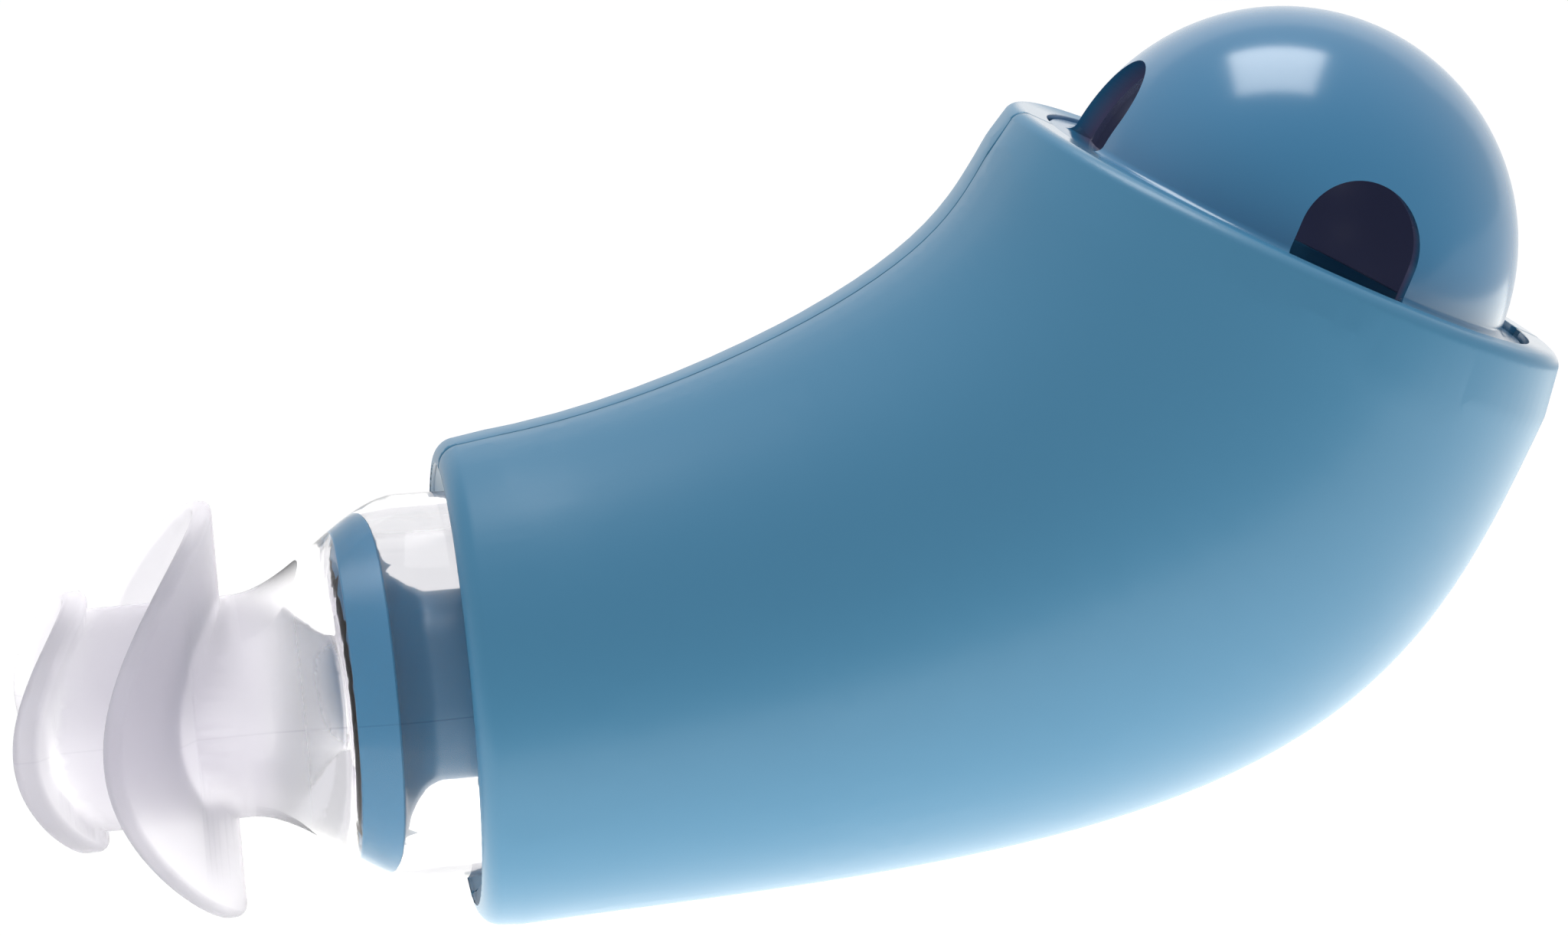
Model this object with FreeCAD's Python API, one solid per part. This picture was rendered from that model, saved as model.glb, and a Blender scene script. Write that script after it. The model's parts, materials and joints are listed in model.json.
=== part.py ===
import FreeCAD, Part
import math
import os

# Breathing trainer, held in the hand: a soft clear mouthpiece on a curved casing, and at the far
# end a cone seat with a steel ball under a slotted dome cap. Lengths are in millimetres and angles
# in degrees. X runs from the lips into the casing, Y across and Z up. The pieces are drawn from the
# centre of the casing's mouth, and moved at the end so that the origin is the mouthpiece's tip.

# Casing, a bent tube drawn between a crown line and a belly line
wall = 2.0
mouth_radius = 24.2
rim_radius = 30.2
rim_x = 84.9
rim_z = 38.2
bowl_angle = 61.4
crown_lead = 23.7
crown_knee = (54.2, 39.8)
crown_run = 15.3
crown_flare = 1.8
belly_lead = 21.4
belly_rise = 1.8
belly_knee = (85.8, -25.0)
belly_run = 39.2
belly_bulge = 2.0
sections = 13
mouth_corner = 4.0
rim_corner = 3.0
mouth_opening = 19.7
lip_edge = 0.5
seam_width = 0.3
seam_depth = 0.3

# Fits
sliding_fit = 0.08
close_fit = 0.05
seat_gap = 0.15
end_gap = 0.3

# Dome cap, measured along the bowl's axis from the middle of the dome's sphere
dome_radius = 23.1
cap_wall = 2.0
rim_above_centre = 1.85
flange_below_rim = 0.7
flange_thickness = 1.6
flange_reach = 2.7
flange_gap = 0.8
flange_edge = 0.4
cove = 0.9
skirt_length = 7.0
slot_width = 12.2
slot_height = 9.4
slot_count = 4

# Ball and its cone seat
ball_radius = 9.5
cone_half_angle = 30.0
cone_hole_radius = 3.25
cone_wall = 1.8
cone_gap = 0.5
seat_depth = 2.1
seat_ledge = 2.0
seat_flange = 2.2
seat_land = 3.3
seat_edge = 0.4

# Inner duct
duct_wall = 2.2
spigot_radius = 15.2
spigot_reach = 10.2
spigot_lead = 1.2
bead_length = 3.7
bead_height = 0.3
collar_radius = 18.2
collar_width = 2.0
elbow_radius = 13.0
groove_ring_step = 2.4
groove_ring_width = 2.0
rib_width = 1.8
rib_overlap = 0.5
middle_rib_x = 40.0

# Pins inside the casing's seam
pin_radius = 1.2
pin_length = 3.0
boss_radius = 2.6
boss_length = 6.0
pin_stations = (0.16, 0.42, 0.68)

# Mouthpiece
bell_radius = 19.0
bell_end_radius = 18.6
bell_depth = 7.0
bell_front = 4.0
bell_edge = 0.8
bell_sections = 7
neck_start = 21.0
funnel_start = 19.5
funnel_sections = 5
tube_width = 33.0
tube_height = 21.2
tube_wall = 2.4
shield_width = 54.0
shield_height = 40.0
shield_bend = 38.0
shield_thickness = 1.9
shield_place = 23.0
tip_width = 39.0
tip_height = 24.8
tip_bend = 34.0
tip_thickness = 2.4
tip_place = 35.9
edge_round = 0.75
mouthpiece_turn = 7.0

# Sizes worked out from the ones above
tip_reach = tip_place + tip_thickness / 2
rim_opening = dome_radius + flange_reach + flange_gap
sphere_x = rim_x - rim_above_centre * math.cos(math.radians(bowl_angle))
sphere_z = rim_z - rim_above_centre * math.sin(math.radians(bowl_angle))
flange_top = rim_above_centre - flange_below_rim
flange_bottom = flange_top - flange_thickness
skirt_bottom = flange_bottom - skirt_length
dome_inner = dome_radius - cap_wall
cup_outer = dome_inner - sliding_fit
cup_inner = cup_outer - duct_wall
cup_top = flange_bottom - end_gap
seat_top = cup_top - seat_depth
seat_under = seat_top - seat_flange
cone_top_radius = cup_inner - seat_land
cone_slope = math.tan(math.radians(cone_half_angle))
cone_lean = 1 / math.cos(math.radians(cone_half_angle))
cone_tip = seat_top - cone_top_radius / cone_slope
ball_centre = cone_tip + (ball_radius + seat_gap) / math.sin(math.radians(cone_half_angle))
ring_top = skirt_bottom - end_gap
ring_bottom = ring_top - groove_ring_width
ring_radius = dome_radius + groove_ring_step
elbow_depth = sphere_z / math.sin(math.radians(bowl_angle))
elbow_x = sphere_x - elbow_depth * math.cos(math.radians(bowl_angle))
elbow_bore = elbow_radius - duct_wall
collar_start = bell_depth + end_gap
bore_radius = spigot_radius + sliding_fit
cut_reach = 2 * rim_radius


def vector(x, y, z):
    return FreeCAD.Vector(x, y, z)


def facing(x, z, angle):
    # A placement whose own Z points along the given direction in the XZ plane
    turn = FreeCAD.Rotation(vector(0, 1, 0), 90 - angle)
    return FreeCAD.Placement(vector(x, 0, z), turn)


def on_bowl(shape):
    # Moves a shape drawn about Z onto the bowl's axis, with its zero at the dome's centre
    placed = shape.copy()
    placed.Placement = facing(sphere_x, sphere_z, bowl_angle).multiply(shape.Placement)
    return placed


def on_mouth(shape):
    # Lays a shape drawn about Z along the mouthpiece's axis
    placed = shape.copy()
    placed.Placement = facing(0, 0, 0).multiply(shape.Placement)
    return placed


def turned(*corners):
    # A solid of revolution about Z; a corner is (radius, height), or an arc's middle and end
    edges = []
    last = vector(corners[0][0], 0, corners[0][1])
    for corner in corners[1:] + corners[:1]:
        if isinstance(corner[0], tuple):
            middle = vector(corner[0][0], 0, corner[0][1])
            end = vector(corner[1][0], 0, corner[1][1])
            edges.append(Part.Arc(last, middle, end).toShape())
        else:
            end = vector(corner[0], 0, corner[1])
            if end.distanceToPoint(last) > 1e-6:
                edges.append(Part.makeLine(last, end))
        last = end
    face = Part.Face(Part.Wire(edges))
    return face.revolve(vector(0, 0, 0), vector(0, 0, 1), 360)


def drum(radius, low, high):
    return Part.makeCylinder(radius, high - low, vector(0, 0, low))


def bezier(values, t):
    n = len(values) - 1
    return sum(math.comb(n, i) * (1 - t) ** (n - i) * t ** i * v for i, v in enumerate(values))


def profile(t):
    # Points of the crown line and the belly line at a share t of the casing's length
    c = math.cos(math.radians(bowl_angle))
    s = math.sin(math.radians(bowl_angle))
    top_x = rim_x - rim_radius * s
    top_z = rim_z + rim_radius * c
    low_x = rim_x + rim_radius * s
    low_z = rim_z - rim_radius * c
    crown_x = (0, crown_lead, crown_knee[0], top_x - crown_run * c - crown_flare * s, top_x)
    crown_z = (mouth_radius, mouth_radius, crown_knee[1], top_z - crown_run * s + crown_flare * c, top_z)
    belly_x = (0, belly_lead, belly_knee[0], low_x - belly_run * c + belly_bulge * s, low_x)
    belly_z = (-mouth_radius, belly_rise - mouth_radius, belly_knee[1],
               low_z - belly_run * s - belly_bulge * c, low_z)
    return bezier(crown_x, t), bezier(crown_z, t), bezier(belly_x, t), bezier(belly_z, t)


def station(t):
    # Centre, direction and radius of the round section between the two lines
    crown_x, crown_z, belly_x, belly_z = profile(t)
    across_x = crown_x - belly_x
    across_z = crown_z - belly_z
    angle = math.degrees(math.atan2(-across_x, across_z))
    radius = math.hypot(across_x, across_z) / 2
    return (crown_x + belly_x) / 2, (crown_z + belly_z) / 2, angle, radius


def hull(inset):
    # The casing's outer form, drawn in by the inset on its side and at both ends
    wires = []
    for i in range(sections):
        x, z, angle, radius = station(i / (sections - 1))
        wire = Part.Wire(Part.makeCircle(radius - inset))
        wire.Placement = facing(x, z, angle)
        wires.append(wire)
    body = Part.makeLoft(wires, True)
    if inset > 0:
        body = body.cut(on_mouth(drum(cut_reach, -wall, inset)))
        rim_cap = drum(cut_reach, rim_above_centre - inset, rim_above_centre + wall)
        body = body.cut(on_bowl(rim_cap))
    return rounded_ends(body, inset)


def rounded_ends(body, inset):
    rim_end = facing(rim_x, rim_z, bowl_angle).inverse()
    mouth_edges = []
    rim_edges = []
    for edge in body.Edges:
        points = edge.discretize(5)
        if all(abs(p.x - inset) < 1e-3 for p in points):
            mouth_edges.append(edge)
        if all(abs(rim_end.multVec(p).z + inset) < 1e-3 for p in points):
            rim_edges.append(edge)
    body = body.makeFillet(mouth_corner - inset, mouth_edges)
    return body.makeFillet(rim_corner - inset, matching(body, rim_edges))


def matching(body, edges):
    # The edges of a changed body that are still where the given edges were
    centres = [edge.CenterOfMass for edge in edges]
    lengths = [edge.Length for edge in edges]
    found = []
    for edge in body.Edges:
        for centre, length in zip(centres, lengths):
            if edge.CenterOfMass.distanceToPoint(centre) < 1e-2 and abs(edge.Length - length) < 1e-2:
                found.append(edge)
    return found


def slab(y_low, y_high):
    span = 3 * cut_reach
    return Part.makeBox(2 * span, y_high - y_low, 2 * span, vector(-span, y_low, -span))


def casing_ribs(inner):
    # Ribs across the inside: pairs that hold the duct's collar and ring, and one along its tube
    collar_end = collar_start + collar_width + close_fit
    tube_here = duct_radius(middle_rib_x) + close_fit
    tube_front = duct_radius(collar_end) + close_fit
    cup_hole = cup_outside(ring_bottom) + end_gap
    ribs = [
        on_mouth(ring(tube_front, collar_end, rib_width)),
        on_mouth(ring(tube_here, middle_rib_x, rib_width)),
        on_bowl(ring(cup_hole, ring_bottom - close_fit - rib_width, rib_width)),
        on_bowl(ring(dome_radius + 2 * end_gap, ring_top + close_fit, rib_width)),
    ]
    return [rib.common(inner) for rib in ribs]


def ring(hole, low, width):
    return drum(cut_reach, low, low + width).cut(drum(hole, low - 1, low + width + 1))


def pin_places():
    # Where the pins stand: under the crown and over the belly, next to the seam
    places = []
    for t in pin_stations:
        x, z, angle, radius = station(t)
        for side in (1, -1):
            reach = side * (radius - wall - 0.7 * boss_radius)
            a = math.radians(angle)
            places.append((x - reach * math.sin(a), z + reach * math.cos(a)))
    return places


def post(radius, place, y_low, y_high):
    start = vector(place[0], y_low, place[1])
    return Part.makeCylinder(radius, y_high - y_low, start, vector(0, 1, 0))


def casing_halves():
    outer = hull(0)
    inner = hull(wall)
    shell = outer.cut(inner)
    shell = shell.cut(on_mouth(drum(mouth_opening, -wall, 2 * wall)))
    shell = shell.cut(on_bowl(drum(rim_opening, -wall, 2 * wall)))
    shell = softened_lips(shell)
    shell = shell.cut(outer.cut(hull(seam_depth)).common(slab(-seam_width / 2, seam_width / 2)))
    core = hull(wall - rib_overlap)
    shell = shell.fuse(casing_ribs(core))
    near = shell.common(slab(-cut_reach, 0))
    far = shell.common(slab(0, cut_reach))
    for place in pin_places():
        pin = post(pin_radius, place, -pin_length, pin_length)
        near = near.fuse(post(boss_radius, place, -boss_length, 0).fuse(pin).common(core))
        boss = post(boss_radius, place, 0, boss_length).common(core)
        far = far.fuse(boss).cut(post(pin_radius + close_fit, place, -1, pin_length + end_gap))
    return near, far


def softened_lips(shell):
    # Breaks the sharp inner edge of both openings
    edges = []
    rim_end = facing(rim_x, rim_z, bowl_angle).inverse()
    for edge in shell.Edges:
        points = edge.discretize(5)
        at_mouth = all(abs(p.x) < 1e-3 and abs(math.hypot(p.y, p.z) - mouth_opening) < 1e-2 for p in points)
        local = [rim_end.multVec(p) for p in points]
        at_rim = all(abs(p.z) < 1e-3 and abs(math.hypot(p.x, p.y) - rim_opening) < 1e-2 for p in local)
        if at_mouth or at_rim:
            edges.append(edge)
    return shell.makeFillet(lip_edge, edges)


def duct_radius(x):
    # Outside of the duct's tube, which narrows from the spigot to the elbow
    share = max(0.0, min(1.0, (x - collar_start) / (elbow_x - collar_start)))
    return spigot_radius - bead_height + share * (elbow_radius - spigot_radius + bead_height)


def cone_inside(s):
    return (s - cone_tip) * cone_slope


def cup_outside(s):
    return cone_inside(s) + (cone_wall + cone_gap + duct_wall) * cone_lean


def height_on_cone(radius, extra):
    # The height at which the cone, thickened by the extra, has this radius
    return cone_tip + (radius - extra * cone_lean) / cone_slope


def inner_duct():
    tube = on_mouth(turned(*tube_outline()))
    tube_bore = on_mouth(turned((0, -spigot_reach - 1), (spigot_radius - duct_wall, -spigot_reach - 1),
                                (elbow_bore, elbow_x), (0, elbow_x)))
    elbow_bottom = -elbow_depth
    outside = height_on_cone(elbow_radius, cone_wall + cone_gap + duct_wall)
    cup = on_bowl(turned((0, elbow_bottom), (elbow_radius, elbow_bottom), (elbow_radius, outside),
                         (cup_outside(ring_bottom), ring_bottom), (ring_radius, ring_bottom),
                         (ring_radius, ring_top), (cup_outer, ring_top), (cup_outer, cup_top),
                         (0, cup_top)))
    inside = height_on_cone(elbow_bore, cone_wall + cone_gap)
    step = seat_under - seat_gap
    hollow = on_bowl(turned((0, elbow_bottom), (elbow_bore, elbow_bottom), (elbow_bore, inside),
                            (cup_inner - seat_ledge, step - 0.01), (cup_inner - seat_ledge, step),
                            (cup_inner, step), (cup_inner, cup_top + 1), (0, cup_top + 1)))
    elbow_at = vector(elbow_x, 0, 0)
    solid = tube.fuse([cup, Part.makeSphere(elbow_radius, elbow_at)])
    return solid.cut([tube_bore, hollow, Part.makeSphere(elbow_bore, elbow_at)])


def tube_outline():
    # Spigot with its lead and raised end band, the stop collar, and the tube to the elbow
    neck = spigot_radius - bead_height
    bead_end = bead_length - spigot_reach
    collar_end = collar_start + collar_width
    return [(0, -spigot_reach), (spigot_radius - spigot_lead, -spigot_reach),
            (spigot_radius, -spigot_reach + spigot_lead), (spigot_radius, bead_end),
            (neck, bead_end + bead_height), (neck, collar_start), (collar_radius, collar_start),
            (collar_radius, collar_end), (duct_radius(collar_end), collar_end),
            (elbow_radius, elbow_x), (0, elbow_x)]


def cone_seat():
    bottom = height_on_cone(cone_hole_radius, 0)
    outer = cup_inner - sliding_fit
    under = cone_inside(seat_under) + cone_wall * cone_lean
    foot = cone_hole_radius + cone_wall * cone_lean
    return on_bowl(turned((cone_hole_radius, bottom), (foot, bottom), (under, seat_under),
                          (outer, seat_under), (outer, seat_top - seat_edge),
                          (outer - seat_edge, seat_top), (cone_top_radius, seat_top)))


def steel_ball():
    return on_bowl(Part.makeSphere(ball_radius, vector(0, 0, ball_centre)))


def dome_cap():
    reach = dome_radius + flange_reach
    slant = math.sqrt(0.5)
    cove_z = flange_top + cove
    cove_x = math.sqrt((dome_radius + cove) ** 2 - cove_z ** 2)
    share = dome_radius / (dome_radius + cove)
    foot = (share * cove_x, share * cove_z)
    lean = math.radians(45) - math.atan2(cove_z, cove_x) / 2
    middle = (cove_x - cove * math.sin(lean), cove_z - cove * math.cos(lean))
    cap = turned((0, dome_radius), ((slant * dome_radius, slant * dome_radius), foot),
                 (middle, (cove_x, flange_top)), (reach - flange_edge, flange_top),
                 (reach, flange_top - flange_edge), (reach, flange_bottom),
                 (dome_radius, flange_bottom), (dome_radius, skirt_bottom),
                 (dome_inner, skirt_bottom), (dome_inner, 0),
                 ((slant * dome_inner, slant * dome_inner), (0, dome_inner)))
    for i in range(slot_count):
        cap = cap.cut(slot_cutter(i * 360 / slot_count))
    return on_bowl(cap)


def slot_cutter(angle):
    # A round-topped window through one side of the dome, its sill at the flange
    half = slot_width / 2
    arch = flange_top + slot_height - half
    start = -2 * dome_radius
    corners = [vector(half, start, arch), vector(half, start, flange_top),
               vector(-half, start, flange_top), vector(-half, start, arch)]
    edges = [Part.makeLine(a, b) for a, b in zip(corners, corners[1:])]
    edges.append(Part.Arc(corners[3], vector(0, start, arch + half), corners[0]).toShape())
    cutter = Part.Face(Part.Wire(edges)).extrude(vector(0, -start, 0))
    cutter.rotate(vector(0, 0, 0), vector(0, 0, 1), angle)
    return cutter


def oval(x, half_width, half_height):
    centre = vector(x, 0, 0)
    curve = Part.Ellipse(vector(x, half_width, 0), vector(x, 0, half_height), centre)
    return Part.Wire(curve.toShape())


def eased(share):
    return share * share * (3 - 2 * share)


def oval_tube(half_width, half_height, x_low, x_high):
    return Part.Face(oval(x_low, half_width, half_height)).extrude(vector(x_high - x_low, 0, 0))


def flare(low, high, steps):
    # An eased change from one oval to another, each given as its X, half width and half height
    wires = []
    for i in range(steps):
        share = i / (steps - 1)
        grow = eased(share)
        x = low[0] + share * (high[0] - low[0])
        half_width = low[1] + grow * (high[1] - low[1])
        half_height = low[2] + grow * (high[2] - low[2])
        wires.append(oval(x, half_width, half_height))
    return Part.makeLoft(wires, True)


def bell_outside():
    neck = (-neck_start, tube_width / 2, tube_height / 2)
    front = (-bell_front, bell_radius, bell_radius)
    bell = turned((0, -bell_front), (bell_radius, -bell_front), (bell_end_radius + bell_edge / 8,
                  bell_depth - bell_edge), (bell_end_radius - bell_edge, bell_depth), (0, bell_depth))
    return flare(neck, front, bell_sections).fuse(on_mouth(bell))


def upright(radius, x, height):
    # A cylinder standing on Z at this X, with its seam turned away from the mouthpiece
    post_low = vector(x, 0, -height)
    cylinder = Part.makeCylinder(radius, 2 * height, post_low)
    cylinder.rotate(post_low, vector(0, 0, 1), 180)
    return cylinder


def bent_sheet(width, height, bend, thickness, place):
    # An oval plate bent about a vertical line on the user's side
    centre_x = -place - bend
    curved = upright(bend + thickness / 2, centre_x, height)
    curved = curved.cut(upright(bend - thickness / 2, centre_x, height))
    sheet = oval_tube(width / 2, height / 2, centre_x, -place + thickness).common(curved)
    edges = [edge for edge in sheet.Edges if edge.Length > height]
    return sheet.makeFillet(edge_round, edges)


def mouthpiece():
    shield = bent_sheet(shield_width, shield_height, shield_bend, shield_thickness, shield_place)
    tip = bent_sheet(tip_width, tip_height, tip_bend, tip_thickness, tip_place)
    front = -tip_place - tip_bend
    tube = oval_tube(tube_width / 2, tube_height / 2, front, -neck_start)
    body = bell_outside().fuse([tube, shield, tip])
    body = body.cut(air_passage(front))
    body = body.cut(upright(tip_bend - tip_thickness / 2, front, tip_height))
    body.rotate(vector(0, 0, 0), vector(1, 0, 0), -mouthpiece_turn)
    return body


def air_passage(front):
    # Oval behind the lips, then a funnel that ends at the spigot, which sits in a round bore
    half_width = tube_width / 2 - tube_wall
    half_height = tube_height / 2 - tube_wall
    stop = -spigot_reach - end_gap
    straight = oval_tube(half_width, half_height, front - 1, -funnel_start)
    funnel = flare((-funnel_start, half_width, half_height),
                   (stop, spigot_radius - duct_wall, spigot_radius - duct_wall), funnel_sections)
    bore = on_mouth(drum(bore_radius, stop, bell_depth + 1))
    return straight.fuse([funnel, bore])


def save(name, shape):
    # One solid per piece, moved so that the tip of the mouthpiece is the origin
    shape.translate(vector(tip_reach, 0, 0))
    solids = shape.Solids
    print(name, "solids", len(solids), "volume", round(shape.Volume), "valid", shape.isValid())
    solids[0].exportStep("parts/" + name + ".step")


os.makedirs("parts", exist_ok=True)
near_half, far_half = casing_halves()
save("casing_near_half", near_half)
save("casing_far_half", far_half)
save("inner_duct", inner_duct())
save("cone_seat", cone_seat())
save("steel_ball", steel_ball())
save("dome_cap", dome_cap())
save("mouthpiece", mouthpiece())
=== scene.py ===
import json
import math

import bmesh
import bpy
from mathutils import Matrix, Vector


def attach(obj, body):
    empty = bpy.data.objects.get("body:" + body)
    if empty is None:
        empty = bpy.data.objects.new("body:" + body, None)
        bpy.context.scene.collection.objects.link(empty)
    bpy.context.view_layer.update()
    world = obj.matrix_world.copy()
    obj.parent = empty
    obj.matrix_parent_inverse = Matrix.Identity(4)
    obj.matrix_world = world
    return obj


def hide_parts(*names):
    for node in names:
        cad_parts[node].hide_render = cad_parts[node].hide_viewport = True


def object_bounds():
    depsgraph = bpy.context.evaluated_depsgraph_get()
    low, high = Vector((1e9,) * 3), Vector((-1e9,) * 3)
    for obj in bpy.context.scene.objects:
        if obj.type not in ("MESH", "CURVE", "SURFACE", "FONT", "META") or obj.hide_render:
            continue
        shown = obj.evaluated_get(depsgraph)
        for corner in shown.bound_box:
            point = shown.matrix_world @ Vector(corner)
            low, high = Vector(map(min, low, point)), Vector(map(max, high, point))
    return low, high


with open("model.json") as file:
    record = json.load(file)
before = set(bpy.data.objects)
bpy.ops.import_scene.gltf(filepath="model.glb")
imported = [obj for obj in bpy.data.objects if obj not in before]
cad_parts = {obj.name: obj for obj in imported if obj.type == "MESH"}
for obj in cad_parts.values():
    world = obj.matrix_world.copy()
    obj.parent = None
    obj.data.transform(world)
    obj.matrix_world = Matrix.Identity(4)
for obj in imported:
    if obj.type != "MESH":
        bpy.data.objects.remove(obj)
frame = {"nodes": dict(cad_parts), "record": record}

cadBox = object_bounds()
nodes = frame["nodes"]
bodyOf = {node: body for body, names in frame["record"]["behaviour"]["bodies"].items() for node in names}
print("frame loaded:", len(nodes), "nodes")


def addObject(name, data):
    thing = bpy.data.objects.new(name, data)
    bpy.context.scene.collection.objects.link(thing)
    return thing


# Camera, at the photograph's angle
camera = {
    "place": (0.00376, -0.47864, 0.14664),
    "right": (0.98656, -0.15326, -0.05686),
    "up": (0.09369, 0.24511, 0.96496),
    "lens": 117.58,
    "sensor": 36.0,
    "near": 0.01,
    "far": 20.0,
}


def makeCamera():
    data = bpy.data.cameras.new("photoCamera")
    data.lens = camera["lens"]
    data.sensor_width = camera["sensor"]
    data.clip_start = camera["near"]
    data.clip_end = camera["far"]
    eye = addObject("photoCamera", data)
    right = Vector(camera["right"]).normalized()
    up = Vector(camera["up"]).normalized()
    back = right.cross(up).normalized()
    up = back.cross(right)
    turn = Matrix((right, up, back)).transposed()
    eye.matrix_world = Matrix.Translation(camera["place"]) @ turn.to_4x4()
    bpy.context.scene.camera = eye
    print("camera ready")


# Node helpers
def feed(tree, entry, value):
    # Gives a socket a plain value, or joins another node's output to it
    if isinstance(value, bpy.types.NodeSocket):
        tree.links.new(value, entry)
    else:
        entry.default_value = value


def addNode(tree, kind, values=None, **settings):
    node = tree.nodes.new(kind)
    for name, value in settings.items():
        setattr(node, name, value)
    for name, value in (values or {}).items():
        feed(tree, node.inputs[name], value)
    return node


def addMath(tree, operation, *values):
    return addNode(tree, "ShaderNodeMath", dict(enumerate(values)), operation=operation).outputs["Value"]


def addRange(tree, value, fromMin=0.0, fromMax=1.0, toMin=0.0, toMax=1.0, curve="LINEAR"):
    node = addNode(tree, "ShaderNodeMapRange", {"Value": value, "From Min": fromMin, "From Max": fromMax,
                                                "To Min": toMin, "To Max": toMax}, interpolation_type=curve)
    return node.outputs["Result"]


def addMix(tree, factor, first, second, kind="FLOAT"):
    node = addNode(tree, "ShaderNodeMix", {"Factor": factor, "A": first, "B": second}, data_type=kind)
    return node.outputs["Result"]


def addNoise(tree, place, size, detail, roughness=0.5):
    node = addNode(tree, "ShaderNodeTexNoise", {"Vector": place, "Scale": size, "Detail": detail,
                                                "Roughness": roughness})
    return node.outputs["Fac"]


def addPlace(tree, name="Object"):
    return addNode(tree, "ShaderNodeTexCoord").outputs[name]


def splitPlace(tree, place):
    return addNode(tree, "ShaderNodeSeparateXYZ", {"Vector": place}).outputs


def findNode(tree, kind):
    return next(node for node in tree.nodes if node.type == kind)


def startMaterial(name):
    material = bpy.data.materials.new(name)
    material.use_nodes = True
    tree = material.node_tree
    tree.nodes.clear()
    shader = addNode(tree, "ShaderNodeBsdfPrincipled")
    addNode(tree, "ShaderNodeOutputMaterial", {"Surface": shader.outputs["BSDF"]})
    return material, tree, shader


# Shared effect: the fine grain and slow drift of moulded plastic
skinLook = {
    "driftSize": 22.0,
    "driftDetail": 3.0,
    "driftRoughness": 0.55,
    "driftMiddle": 0.5,
    "grainDetail": 2.0,
    "grainRoughness": 0.6,
}


def makeMouldedSkin():
    group = bpy.data.node_groups.new("mouldedSkin", "ShaderNodeTree")
    for name, kind in (("Colour", "NodeSocketColor"), ("Deep Colour", "NodeSocketColor"),
                       ("Grain Size", "NodeSocketFloat"), ("Grain Depth", "NodeSocketFloat"),
                       ("Roughness", "NodeSocketFloat"), ("Roughness Drift", "NodeSocketFloat")):
        group.interface.new_socket(name=name, in_out="INPUT", socket_type=kind)
    for name, kind in (("Colour", "NodeSocketColor"), ("Roughness", "NodeSocketFloat"),
                       ("Height", "NodeSocketFloat")):
        group.interface.new_socket(name=name, in_out="OUTPUT", socket_type=kind)
    given = addNode(group, "NodeGroupInput").outputs
    place = addPlace(group)
    drift = addNoise(group, place, skinLook["driftSize"], skinLook["driftDetail"], skinLook["driftRoughness"])
    grain = addNoise(group, place, given["Grain Size"], skinLook["grainDetail"], skinLook["grainRoughness"])
    centred = addMath(group, "SUBTRACT", drift, skinLook["driftMiddle"])
    addNode(group, "NodeGroupOutput", {
        "Colour": addMix(group, drift, given["Colour"], given["Deep Colour"], "RGBA"),
        "Roughness": addMath(group, "MULTIPLY_ADD", centred, given["Roughness Drift"], given["Roughness"]),
        "Height": addMath(group, "MULTIPLY", grain, given["Grain Depth"]),
    })
    return group


def plainPlastic(name, look):
    # One opaque moulded plastic, from its dictionary of values
    material, tree, shader = startMaterial(name)
    cover = addNode(tree, "ShaderNodeGroup", {
        "Colour": (*look["colour"], 1),
        "Deep Colour": (*look["deepColour"], 1),
        "Grain Size": look["grainSize"],
        "Grain Depth": look["grainDepth"],
        "Roughness": look["roughness"],
        "Roughness Drift": look["roughnessDrift"],
    }, node_tree=skin).outputs
    bump = addNode(tree, "ShaderNodeBump", {"Strength": look["bump"], "Distance": look["bumpDistance"],
                                            "Height": cover["Height"]})
    feed(tree, shader.inputs["Base Color"], cover["Colour"])
    feed(tree, shader.inputs["Roughness"], cover["Roughness"])
    feed(tree, shader.inputs["Normal"], bump.outputs["Normal"])
    shader.inputs["IOR"].default_value = look["gloss"]
    shader.inputs["Coat Weight"].default_value = look["coat"]
    shader.inputs["Coat Roughness"].default_value = look["coatRoughness"]
    return material


# Mesh work: distances within which points are one, and shading
meshWork = {
    "mergeWithin": 2e-6,
    "fineWithin": 1e-7,
    "sharpAngle": 32,
    "normalWeight": 50,
}


def smoothCopy(node, material, sharpAngle=meshWork["sharpAngle"], change=None):
    # A merged, smooth-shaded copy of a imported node, which stands for it
    mesh = nodes[node].data.copy()
    shape = bmesh.new()
    shape.from_mesh(mesh)
    bmesh.ops.remove_doubles(shape, verts=shape.verts, dist=meshWork["mergeWithin"])
    if change:
        change(shape)
    shape.to_mesh(mesh)
    shape.free()
    mesh.materials.clear()
    mesh.materials.append(material)
    mesh.shade_smooth()
    mesh.set_sharp_from_angle(angle=math.radians(sharpAngle))
    piece = addObject(node + "_skin", mesh)
    even = piece.modifiers.new("evenNormals", "WEIGHTED_NORMAL")
    even.keep_sharp = True
    even.weight = meshWork["normalWeight"]
    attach(piece, bodyOf[node])
    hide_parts(node)


makeCamera()
skin = makeMouldedSkin()

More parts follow.
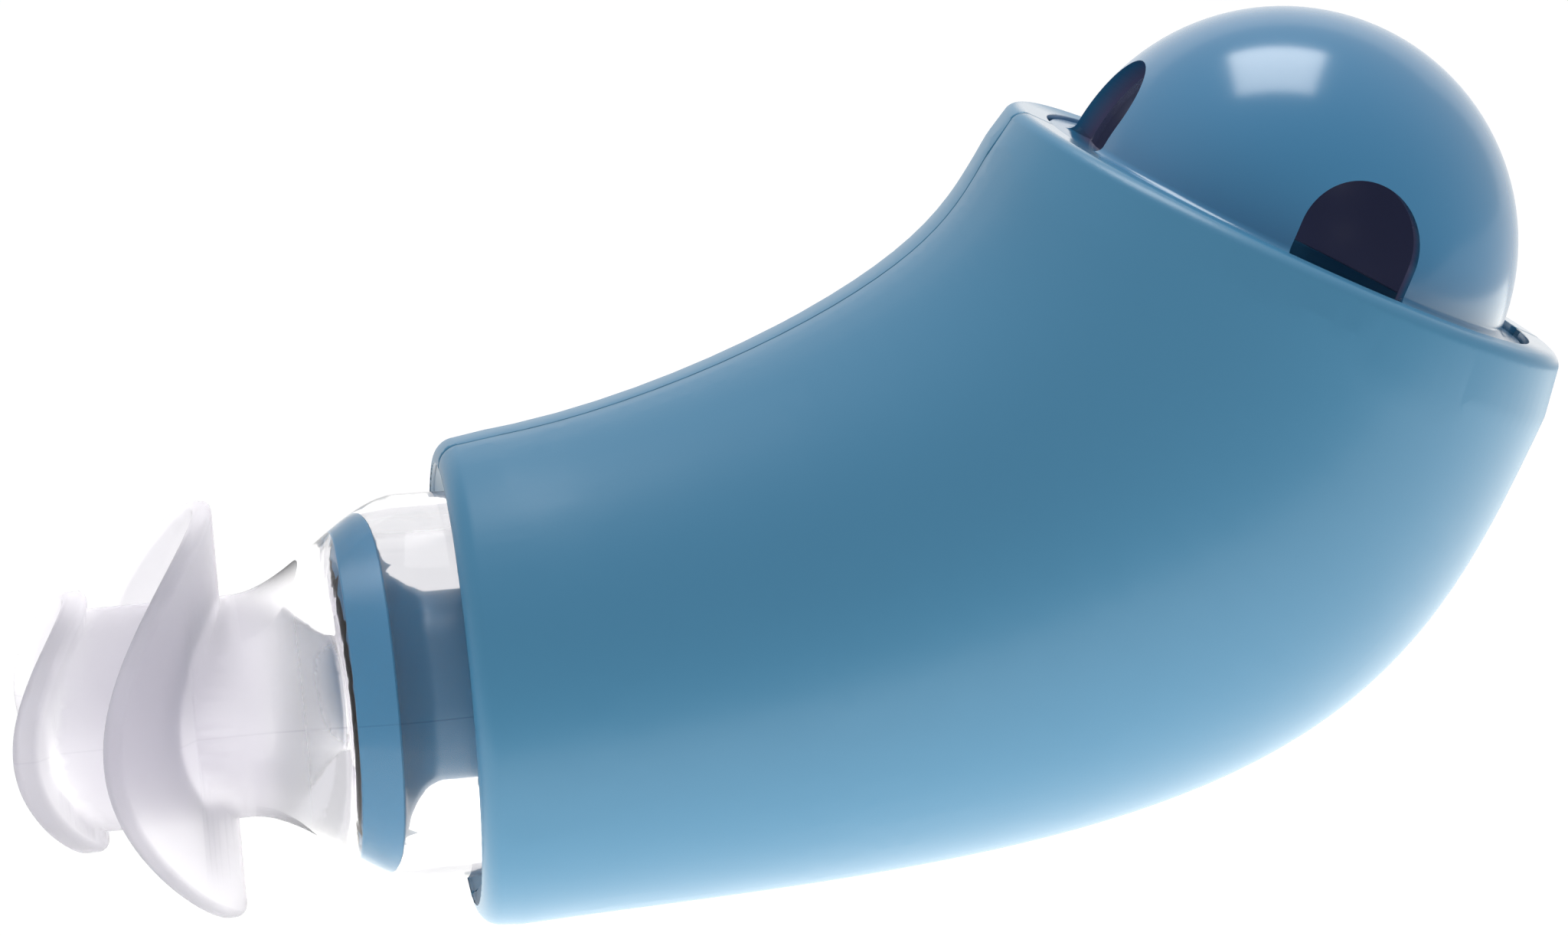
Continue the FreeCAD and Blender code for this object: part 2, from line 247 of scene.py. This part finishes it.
# Casing: satin blue moulded shell in two halves
casingLook = {
    "colour": (0.053, 0.226, 0.392),
    "deepColour": (0.049, 0.212, 0.372),
    "grainSize": 2600.0,
    "grainDepth": 0.012,
    "roughness": 0.42,
    "roughnessDrift": 0.06,
    "bump": 0.35,
    "bumpDistance": 0.001,
    "gloss": 1.49,
    "coat": 0.2,
    "coatRoughness": 0.22,
}
rimShape = {
    "centre": (0.1220, 0.0, 0.0382),  # middle of the rim's plane
    "axis": (0.478692, 0.0, 0.877983),  # out of the bowl
    "across": (0.877983, 0.0, -0.478692),  # from the crown side to the belly side
    "radius": 0.0302,  # of the rim's outer edge
    "roundDepth": 0.0034,  # the outer corner's round reaches this far down
    "roundInset": 0.00305,  # and this far in
    "insideFrom": 0.0012,  # points this far under both faces belong to the inside, and stay
    "tighten": 0.5,  # share of the round that is left
    "drawIn": 0.0003,  # the tightened corner moves in, to stay within the frame's box
    "drawInBelly": 0.0003,  # and this much more at the belly side
    "lowering": 0.00045,  # of the crown side
    "fadeDepth": 0.0075,  # the lowering fades out at this depth
    "lipInside": 0.0274,  # the lip's points lie within this radius
    "lipDepth": 0.0026,  # and above this depth
    "lipReach": 0.0006,  # they come this much nearer to the cap
    "edgeRadius": 0.0266,  # of the lip's inner edge
    "edgeDepth": 0.00055,
    "edgeTighten": 0.2,
}
mouthShape = {
    "plane": 0.0371,  # X of the mouth's face
    "radius": 0.0242,  # of its outer edge
    "core": 0.001,  # points nearer to the axis stay
    "round": 0.00405,  # the outer corner's round reaches this far back
    "insideFrom": 0.0014,  # as on the rim, and the next two too
    "tighten": 0.55,
    "drawIn": 0.0003,
    "edgeRadius": 0.02019,  # the opening's points lie within this radius
    "edgeDepth": 0.00065,
    "opening": 0.0018,  # its edge moves outwards by this
}


def eased(share):
    # Zero to one, with a soft start and end
    share = min(1, max(0, share))
    return share * share * (3 - 2 * share)


def shapeRim(shape):
    # A crisper outer corner, a lip that comes closer to the cap, and a lower crown side
    centre, axis, across = (Vector(rimShape[name]) for name in ("centre", "axis", "across"))
    for vert in shape.verts:
        depth = (centre - vert.co).dot(axis)
        if depth > rimShape["fadeDepth"]:
            continue
        outward = vert.co - centre + depth * axis
        radius = outward.length
        outward.normalize()
        inset, side = rimShape["radius"] - radius, (1 + outward.dot(across)) / 2
        place = vert.co.copy()
        rounded = inset < rimShape["roundInset"] and depth < rimShape["roundDepth"]
        if rounded and min(inset, depth) < rimShape["insideFrom"]:
            corner = centre + outward * rimShape["radius"]
            place = corner + rimShape["tighten"] * (place - corner)
            place -= outward * (rimShape["drawIn"] + rimShape["drawInBelly"] * side)
        elif radius < rimShape["lipInside"] and depth < rimShape["lipDepth"]:
            if depth < rimShape["edgeDepth"]:
                corner = centre + outward * rimShape["edgeRadius"]
                place = corner + rimShape["edgeTighten"] * (place - corner)
            place -= outward * rimShape["lipReach"]
        fade = 1 - eased(depth / rimShape["fadeDepth"])
        vert.co = place - axis * (rimShape["lowering"] * (1 - side) * fade)


def shapeMouth(shape):
    # A crisper corner round the mouth, and an opening that flares to a thin edge
    for vert in shape.verts:
        depth = vert.co.x - mouthShape["plane"]
        outward = Vector((0, vert.co.y, vert.co.z))
        radius = outward.length
        if depth > mouthShape["round"] or radius < mouthShape["core"]:
            continue
        outward.normalize()
        inset = mouthShape["radius"] - radius
        if radius <= mouthShape["edgeRadius"]:
            if depth < mouthShape["edgeDepth"]:
                vert.co += outward * mouthShape["opening"]
        elif min(inset, depth) < mouthShape["insideFrom"]:
            corner = Vector((mouthShape["plane"], 0, 0)) + outward * mouthShape["radius"]
            vert.co = corner + mouthShape["tighten"] * (vert.co - corner) - outward * mouthShape["drawIn"]


def shapeCasing(shape):
    shapeRim(shape)
    shapeMouth(shape)


lipLook = {
    "from": 0.0003,  # full polish above this depth
    "to": 0.0009,  # and none below this one
    "coat": 1.0,
    "roughness": 0.14,
    "sideFrom": 0.008,  # full polish this near to the middle plane
    "sideTo": 0.020,
    "sideShare": 0.0,  # polish that is left further out
}


def glossLip(material):
    # The flat lip round the bowl is polished where it crosses the upright middle plane
    tree = material.node_tree
    shader = findNode(tree, "BSDF_PRINCIPLED")
    place = addPlace(tree)
    height = addNode(tree, "ShaderNodeVectorMath", {0: place, 1: rimShape["axis"]}, operation="DOT_PRODUCT")
    level = Vector(rimShape["centre"]).dot(Vector(rimShape["axis"]))
    lip = addRange(tree, height.outputs["Value"], level - lipLook["to"], level - lipLook["from"],
                   curve="SMOOTHSTEP")
    reach = addMath(tree, "ABSOLUTE", splitPlace(tree, place)["Y"])
    ends = addRange(tree, reach, lipLook["sideFrom"], lipLook["sideTo"], 1.0, lipLook["sideShare"],
                    "SMOOTHSTEP")
    polish = addMath(tree, "MULTIPLY", lip, ends)
    coat = addRange(tree, polish, toMin=casingLook["coat"], toMax=lipLook["coat"])
    feed(tree, shader.inputs["Coat Weight"], coat)
    plain = shader.inputs["Roughness"].links[0].from_socket
    feed(tree, shader.inputs["Roughness"], addMix(tree, polish, plain, lipLook["roughness"]))


casingBlue = plainPlastic("casingBlue", casingLook)
glossLip(casingBlue)
smoothCopy("casing_near_half", casingBlue, change=shapeCasing)
smoothCopy("casing_far_half", casingBlue, change=shapeCasing)
print("casing dressed")

# Duct: the same blue, seen through the clear bell
ductLook = dict(casingLook, roughness=0.36, coat=0.05, colour=(0.036, 0.215, 0.40),
                deepColour=(0.032, 0.20, 0.375))
waistShape = {
    "start": 0.0307,  # X where the end band ends
    "narrow": 0.0342,  # narrowest from here
    "widen": 0.0405,  # to here
    "end": 0.0436,
    "share": 0.62,  # of the radius, at the narrowest
    "step": 0.00015,  # between rings of points
    "sharpAngle": 50,  # wide enough for the rings to shade smoothly
}


def sliceAcross(shape, start, end, step):
    # Rings of points along X, so that a long wall can bend
    for index in range(round((end - start) / step) + 1):
        bmesh.ops.bisect_plane(shape, geom=[*shape.verts, *shape.edges, *shape.faces],
                               dist=meshWork["fineWithin"], plane_co=(start + index * step, 0, 0),
                               plane_no=(1, 0, 0))


def narrowWaist(shape):
    # The spigot is waisted behind its end band, where the clear bell leaves it free
    start, end = waistShape["start"], waistShape["end"]
    sliceAcross(shape, start, end, waistShape["step"])
    for vert in shape.verts:
        place = vert.co
        if start < place.x < end:
            near = max(0, 1 - (place.x - start) / (waistShape["narrow"] - start))
            up = eased((end - place.x) / (end - waistShape["widen"]))
            share = 1 - (1 - waistShape["share"]) * math.sqrt(1 - near * near) * up
            vert.co = (place.x, place.y * share, place.z * share)


ductBlue = plainPlastic("ductBlue", ductLook)
smoothCopy("inner_duct", ductBlue, waistShape["sharpAngle"], narrowWaist)

# Cone seat: the same plastic, with painted shade: its colour is made darker because it sits under the dome
coneShadeLook = dict(casingLook, roughness=0.3, colour=(0.05, 0.10, 0.19), deepColour=(0.045, 0.09, 0.17))
smoothCopy("cone_seat", plainPlastic("coneBlue", coneShadeLook))
print("duct and cone seat dressed")

# Dome cap: glossier blue
capLook = dict(casingLook, roughness=0.2, roughnessDrift=0.03, grainDepth=0.006, coat=0.38,
               coatRoughness=0.14, colour=(0.046, 0.212, 0.40), deepColour=(0.042, 0.20, 0.38))
# Painted light inside the dome: a tint and a glow in place of the shade and faint veil of light in its hollow
paintedInsideLook = {
    "centre": (0.121114, 0.0, 0.036576),
    "inside": 0.0213,  # full tint this near to the dome's centre
    "outside": 0.0228,  # and none from here on
    # painted shade colour of the inside face
    "colour": (0.15, 0.14, 0.25),
    # painted glow, though nothing inside the dome is a lamp
    "glow": (0.0085, 0.0105, 0.022),
}


def paintInsideLight(material):
    # Painted light: the dome's inside face gets a dark navy-purple tint and a faint glow, which stand in for
    # how its shaded hollow looks through the slots
    tree = material.node_tree
    shader = findNode(tree, "BSDF_PRINCIPLED")
    reach = addNode(tree, "ShaderNodeVectorMath", {0: addPlace(tree), 1: paintedInsideLook["centre"]},
                    operation="DISTANCE")
    deep = addRange(tree, reach.outputs["Value"], paintedInsideLook["inside"], paintedInsideLook["outside"], 1.0, 0.0)
    plain = shader.inputs["Base Color"].links[0].from_socket
    colour = addMix(tree, deep, plain, (*paintedInsideLook["colour"], 1), "RGBA")
    feed(tree, shader.inputs["Base Color"], colour)
    glow = addNode(tree, "ShaderNodeVectorMath", {0: paintedInsideLook["glow"], "Scale": deep}, operation="SCALE")
    feed(tree, shader.inputs["Emission Color"], glow.outputs["Vector"])
    shader.inputs["Emission Strength"].default_value = 1


capBlue = plainPlastic("capBlue", capLook)
paintInsideLight(capBlue)
smoothCopy("dome_cap", capBlue)
print("dome cap dressed")

# Ball: polished bearing steel with faint marks
ballLook = {
    "colour": (0.60, 0.61, 0.63),
    "roughness": 0.12,
    "markSize": 900.0,
    "markDetail": 4.0,
    "markSpread": 0.08,
}


def makeBallSteel():
    material, tree, shader = startMaterial("ballSteel")
    marks = addNoise(tree, addPlace(tree), ballLook["markSize"], ballLook["markDetail"])
    rough = addMath(tree, "MULTIPLY_ADD", marks, ballLook["markSpread"], ballLook["roughness"])
    feed(tree, shader.inputs["Roughness"], rough)
    shader.inputs["Base Color"].default_value = (*ballLook["colour"], 1)
    shader.inputs["Metallic"].default_value = 1
    return material


smoothCopy("steel_ball", makeBallSteel())
print("ball dressed")

# Mouthpiece: clear soft moulding, milkier and rougher at the flanges, where its darker lilac-grey colour is
# painted shade, with a fine mould seam along its sides
clearLook = {
    "colour": (0.93, 0.927, 0.94),
    # painted shade: the flanges' darker lilac-grey colour stands in for the shade on their bent sheets
    "flangeShadeColour": (0.76, 0.75, 0.79),
    "flangeEnd": 0.016,  # milky and rough, with painted shade, up to this X
    "clearFrom": 0.026,  # and clear from this one
    "roughness": 0.08,
    "flangeRoughness": 0.55,
    "streakSize": 160.0,
    "streakDetail": 3.0,
    "streakDepth": 0.05,
    "bump": 0.3,
    "bumpDistance": 0.0003,
    "clarity": 0.98,
    "bending": 1.2,  # refraction, low so that the thin edges keep their outlines
    "funnelRoughness": 0.7,  # of the frosted wall inside the funnel
    "funnelRadius": 0.0135,  # which lies within this radius
    "funnelFrom": 0.0165,  # and between these two X
    "funnelTo": 0.0265,
    "mistTint": (0.54, 0.52, 0.60),  # what the moulding's depth leaves of the light
    "mistDensity": 15.0,
    "seamTilt": 7.0,  # degrees, the mouthpiece's roll
    "seamWidth": 0.00008,
    "seamFrom": 0.0154,
    "seamTo": 0.0195,
    "seamHeight": 1.0,
    "seamColour": (0.70, 0.69, 0.73),
}


def makeSeamMask(tree, split):
    # One on a thin line where the two mould halves met, on the outside only
    tilt = math.radians(clearLook["seamTilt"])
    across = addMath(tree, "MULTIPLY", split["Y"], math.sin(tilt))
    height = addMath(tree, "MULTIPLY_ADD", split["Z"], math.cos(tilt), across)
    near = addMath(tree, "COMPARE", height, 0.0, clearLook["seamWidth"])
    reach = addMath(tree, "ABSOLUTE", split["Y"])
    outside = addMath(tree, "GREATER_THAN", reach, clearLook["seamFrom"])
    inside = addMath(tree, "LESS_THAN", reach, clearLook["seamTo"])
    return addMath(tree, "MULTIPLY", near, addMath(tree, "MULTIPLY", outside, inside))


def makeFunnelMask(tree, split):
    # One on the air passage's inner wall between the neck and the spigot
    squares = [addMath(tree, "MULTIPLY", split[name], split[name]) for name in ("Y", "Z")]
    inside = addMath(tree, "LESS_THAN", addMath(tree, "ADD", *squares), clearLook["funnelRadius"] ** 2)
    past = addMath(tree, "GREATER_THAN", split["X"], clearLook["funnelFrom"])
    before = addMath(tree, "LESS_THAN", split["X"], clearLook["funnelTo"])
    return addMath(tree, "MULTIPLY", addMath(tree, "MULTIPLY", inside, past), before)


def makeClearSilicone():
    material, tree, shader = startMaterial("clearSilicone")
    place = addPlace(tree)
    split = splitPlace(tree, place)
    seam = makeSeamMask(tree, split)
    # Rougher flanges, whose darker colour is painted shade
    flange = addRange(tree, split["X"], clearLook["flangeEnd"], clearLook["clearFrom"], 1.0, 0.0,
                      "SMOOTHSTEP")
    milkAndShade = addMix(tree, flange, (*clearLook["colour"], 1), (*clearLook["flangeShadeColour"], 1), "RGBA")
    lined = addMix(tree, seam, milkAndShade, (*clearLook["seamColour"], 1), "RGBA")
    feed(tree, shader.inputs["Base Color"], lined)

    rough = addRange(tree, flange, toMin=clearLook["roughness"], toMax=clearLook["flangeRoughness"])
    frosted = addMix(tree, makeFunnelMask(tree, split), rough, clearLook["funnelRoughness"])
    feed(tree, shader.inputs["Roughness"], frosted)

    streaks = addNoise(tree, place, clearLook["streakSize"], clearLook["streakDetail"])
    fine = addMath(tree, "MULTIPLY", streaks, clearLook["streakDepth"])
    ridge = addMath(tree, "MULTIPLY_ADD", seam, clearLook["seamHeight"], fine)
    bump = addNode(tree, "ShaderNodeBump", {"Strength": clearLook["bump"], "Height": ridge,
                                            "Distance": clearLook["bumpDistance"]})
    feed(tree, shader.inputs["Normal"], bump.outputs["Normal"])

    shader.inputs["Transmission Weight"].default_value = clearLook["clarity"]
    shader.inputs["IOR"].default_value = clearLook["bending"]
    mist = addNode(tree, "ShaderNodeVolumeAbsorption", {"Color": (*clearLook["mistTint"], 1),
                                                        "Density": clearLook["mistDensity"]})
    feed(tree, findNode(tree, "OUTPUT_MATERIAL").inputs["Volume"], mist.outputs["Volume"])
    return material


funnelShape = {
    "start": 0.0176,  # X where the neck ends
    "end": 0.0266,  # X of the step that meets the spigot
    "pastEnd": 1.01,  # share of the length, so that the step's own edge moves too
    "step": 0.0006,  # between rings of points
    "within": 0.0145,  # the inner points lie within this radius
    "share": 0.34,  # of the radius, at the end
}


def narrowFunnel(shape):
    # The air passage narrows towards the spigot, so that its wall is thick there
    start, end = funnelShape["start"], funnelShape["end"]
    sliceAcross(shape, start, end - funnelShape["step"], funnelShape["step"])
    shape.normal_update()
    for vert in shape.verts:
        place = vert.co
        share = (place.x - start) / (end - start)
        outward = Vector((0, place.y, place.z))
        inner = outward.length < funnelShape["within"] and vert.normal.dot(outward) < 0
        if inner and 0 < share < funnelShape["pastEnd"]:
            size = 1 - (1 - funnelShape["share"]) * eased(share)
            vert.co = (place.x, place.y * size, place.z * size)


smoothCopy("mouthpiece", makeClearSilicone(), change=narrowFunnel)
print("mouthpiece dressed")

# End band of the spigot, which the soft bell grips without an air gap
bandShape = {
    "start": 0.02662,
    "end": 0.0306,
    "inside": 0.0150,
    "outside": 0.01545,
    "edge": 0.0001,
    "segments": 96,
    "sharpAngle": 40,
}


def makeGripBand():
    low, high = bandShape["start"], bandShape["end"]
    small, large, edge = bandShape["inside"], bandShape["outside"], bandShape["edge"]
    shape = bmesh.new()
    ring = [shape.verts.new((x, 0, z)) for x, z in
            ((low, small), (low, large - edge), (low + edge, large), (high - edge, large),
             (high, large - edge), (high, small))]
    edges = [shape.edges.new(pair) for pair in zip(ring, ring[1:] + ring[:1])]
    bmesh.ops.spin(shape, geom=ring + edges, cent=(0, 0, 0), axis=(1, 0, 0), angle=2 * math.pi,
                   steps=bandShape["segments"], use_merge=True)
    bmesh.ops.remove_doubles(shape, verts=shape.verts, dist=meshWork["fineWithin"])
    bmesh.ops.recalc_face_normals(shape, faces=shape.faces)
    mesh = bpy.data.meshes.new("gripBand")
    shape.to_mesh(mesh)
    shape.free()
    mesh.shade_smooth()
    mesh.set_sharp_from_angle(angle=math.radians(bandShape["sharpAngle"]))
    mesh.materials.append(ductBlue)
    band = addObject("gripBand", mesh)
    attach(band, "casing")


makeGripBand()
print("spigot's band ready")


# Stage: pale floor well below the trainer, curved up into a backdrop
stageLook = {
    "colour": (0.92, 0.92, 0.93),
    "roughness": 0.9,
    "drop": 0.10,
    "front": -0.40,
    "depth": 1.6,
    "height": 1.4,
    "halfWidth": 2.2,
    "bend": 0.5,
    "bendSteps": 16,
    "glow": 1.08,
    "glowShare": 0.86,
}


def makePaleStage():
    # Glows white to the camera, in mirrors and through glass, with a share left for a faint shadow
    material, tree, shader = startMaterial("paleStage")
    shader.inputs["Base Color"].default_value = (*stageLook["colour"], 1)
    shader.inputs["Roughness"].default_value = stageLook["roughness"]
    path = addNode(tree, "ShaderNodeLightPath").outputs
    seen = addMath(tree, "MAXIMUM", path["Is Camera Ray"], path["Is Glossy Ray"])
    seen = addMath(tree, "MAXIMUM", seen, path["Is Transmission Ray"])
    glow = addNode(tree, "ShaderNodeEmission", {"Color": (1, 1, 1, 1), "Strength": stageLook["glow"]})
    mix = addNode(tree, "ShaderNodeMixShader", {
        0: addMath(tree, "MULTIPLY", seen, stageLook["glowShare"]),
        1: shader.outputs["BSDF"],
        2: glow.outputs["Emission"],
    })
    feed(tree, findNode(tree, "OUTPUT_MATERIAL").inputs["Surface"], mix.outputs["Shader"])
    return material


def makeFloor():
    left, depth = -stageLook["halfWidth"], stageLook["depth"]
    floorZ = cadBox[0].z - stageLook["drop"]
    shape = bmesh.new()
    low = shape.verts.new((left, stageLook["front"], floorZ))
    turn = shape.verts.new((left, depth, floorZ))
    top = shape.verts.new((left, depth, floorZ + stageLook["height"]))
    shape.edges.new((low, turn))
    shape.edges.new((turn, top))
    bmesh.ops.bevel(shape, geom=[turn], offset=stageLook["bend"], segments=stageLook["bendSteps"],
                    profile=0.5, affect="VERTICES", material=-1)
    swept = bmesh.ops.extrude_edge_only(shape, edges=list(shape.edges))
    moved = [part for part in swept["geom"] if isinstance(part, bmesh.types.BMVert)]
    bmesh.ops.translate(shape, verts=moved, vec=(2 * stageLook["halfWidth"], 0, 0))
    bmesh.ops.recalc_face_normals(shape, faces=shape.faces)
    mesh = bpy.data.meshes.new("floor")
    shape.to_mesh(mesh)
    shape.free()
    mesh.shade_smooth()
    mesh.materials.append(makePaleStage())
    addObject("floor", mesh)


# Studio: lamp power in watts, places, aims and sizes in metres
studioLook = {
    "ambient": 0.62,
    "frontShine": 0.3,  # the room as the plastic mirrors it, before and behind the trainer
    "backShine": 0.72,
    "shineFrom": -0.9,  # directions' Y between which one turns into the other
    "shineTo": 0.3,
    "lamps": (
        {"name": "topBox", "power": 1.30, "place": (0.155, 0.119, 0.522), "aim": (0.121, 0.0, 0.037),
         "width": 0.26, "height": 0.28, "colour": (1, 1, 1)},
        {"name": "tableGlow", "power": 2.35, "place": (0.07, 0.0, -0.122), "aim": (0.07, 0.0, 0.0),
         "width": 0.9, "height": 0.7, "colour": (1, 0.985, 0.9)},
    ),
}


def makeWorld():
    # White where it is seen, even light on the object, and a shine that grows towards the back
    world = bpy.data.worlds.new("studio")
    bpy.context.scene.world = world
    world.use_nodes = True
    tree = world.node_tree
    tree.nodes.clear()
    path = addNode(tree, "ShaderNodeLightPath").outputs
    split = splitPlace(tree, addPlace(tree, "Generated"))
    room = addRange(tree, split["Y"], studioLook["shineFrom"], studioLook["shineTo"],
                    studioLook["frontShine"], studioLook["backShine"], "SMOOTHSTEP")
    light = addMix(tree, path["Is Glossy Ray"], studioLook["ambient"], room)
    seen = addMath(tree, "MAXIMUM", path["Is Camera Ray"], path["Is Transmission Ray"])
    back = addNode(tree, "ShaderNodeBackground", {"Color": (1, 1, 1, 1),
                                                  "Strength": addMath(tree, "MAXIMUM", light, seen)})
    addNode(tree, "ShaderNodeOutputWorld", {"Surface": back.outputs["Background"]})


def makeLamps():
    for look in studioLook["lamps"]:
        data = bpy.data.lights.new(look["name"], "AREA")
        data.shape = "RECTANGLE"
        data.size = look["width"]
        data.size_y = look["height"]
        data.energy = look["power"]
        data.color = look["colour"]
        lamp = addObject(look["name"], data)
        lamp.location = look["place"]
        lamp.rotation_mode = "QUATERNION"
        lamp.rotation_quaternion = (Vector(look["aim"]) - Vector(look["place"])).to_track_quat("-Z", "Y")
        lamp.visible_camera = False


makeFloor()
makeWorld()
makeLamps()
bpy.context.scene.view_settings.view_transform = "Standard"
print("stage and lamps ready")
